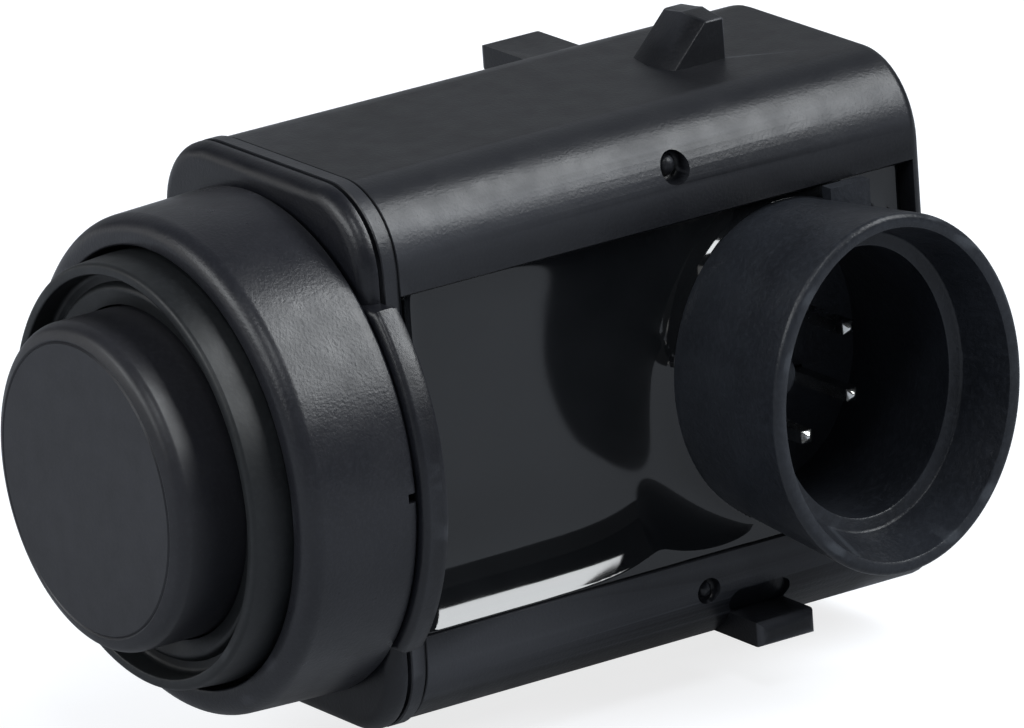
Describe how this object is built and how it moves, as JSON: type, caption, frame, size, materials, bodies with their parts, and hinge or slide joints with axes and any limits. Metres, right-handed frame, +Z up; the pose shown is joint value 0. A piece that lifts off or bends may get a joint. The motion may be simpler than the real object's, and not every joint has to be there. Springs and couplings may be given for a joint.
{
  "type": "ultrasonic parking sensor",
  "caption": "Black ultrasonic parking sensor: round membrane pot in a soft ring and collar, potted tray housing with latches and an oval side connector socket.",
  "frame": {"origin": "centre of the membrane's outer face, on the sensor axis", "axes": "-Y is the way the sensor looks, +X points out of the connector mouth, +Z is up towards one latch wedge"},
  "size_m": [0.0283, 0.0417, 0.0302],
  "materials": {
    "housing": "fine satin texture",
    "front_cover": "satin",
    "retaining_collar": "satin",
    "decoupling_ring": "soft matt silicone",
    "membrane_pot": "satin black coating on aluminium",
    "piezo_disc": "sintered",
    "damping_pad": "felt",
    "backing_plug": "cast silicone",
    "lead_wire_red": "smooth insulation",
    "lead_wire_black": "smooth insulation",
    "connector_shroud": "grained satin",
    "contact_pins": "tin plated",
    "circuit_board": "coated laminate",
    "chip_resin": "moulded resin",
    "capacitor_ceramic": "sintered",
    "resistor_film": "glazed film",
    "capacitor_can": "drawn can",
    "ferrite": "sintered",
    "bobbin_plastic": "moulded",
    "copper_wire": "enamelled",
    "potting_compound": "glossy cast resin"
  },
  "bodies": {
    "root": {"housing": "housing", "front_cover": "front_cover", "retaining_collar": "retaining_collar", "decoupling_ring": "decoupling_ring", "membrane_pot": "membrane_pot", "piezo_disc": "piezo_disc", "damping_pad": "damping_pad", "backing_plug": "backing_plug", "lead_wire_1": "lead_wire_red", "lead_wire_2": "lead_wire_black", "connector_shroud": "connector_shroud", "contact_pin_1": "contact_pins", "contact_pin_2": "contact_pins", "contact_pin_3": "contact_pins", "contact_pin_4": "contact_pins", "circuit_board": "circuit_board", "control_chip": "chip_resin", "diode": "chip_resin", "filter_capacitor_1": "capacitor_ceramic", "filter_capacitor_2": "capacitor_ceramic", "resistor_1": "resistor_film", "resistor_2": "resistor_film", "resistor_3": "resistor_film", "storage_capacitor": "capacitor_can", "transformer_core": "ferrite", "transformer_bobbin": "bobbin_plastic", "transformer_winding": "copper_wire", "potting_compound": "potting_compound"}
  },
  "joints": []
}
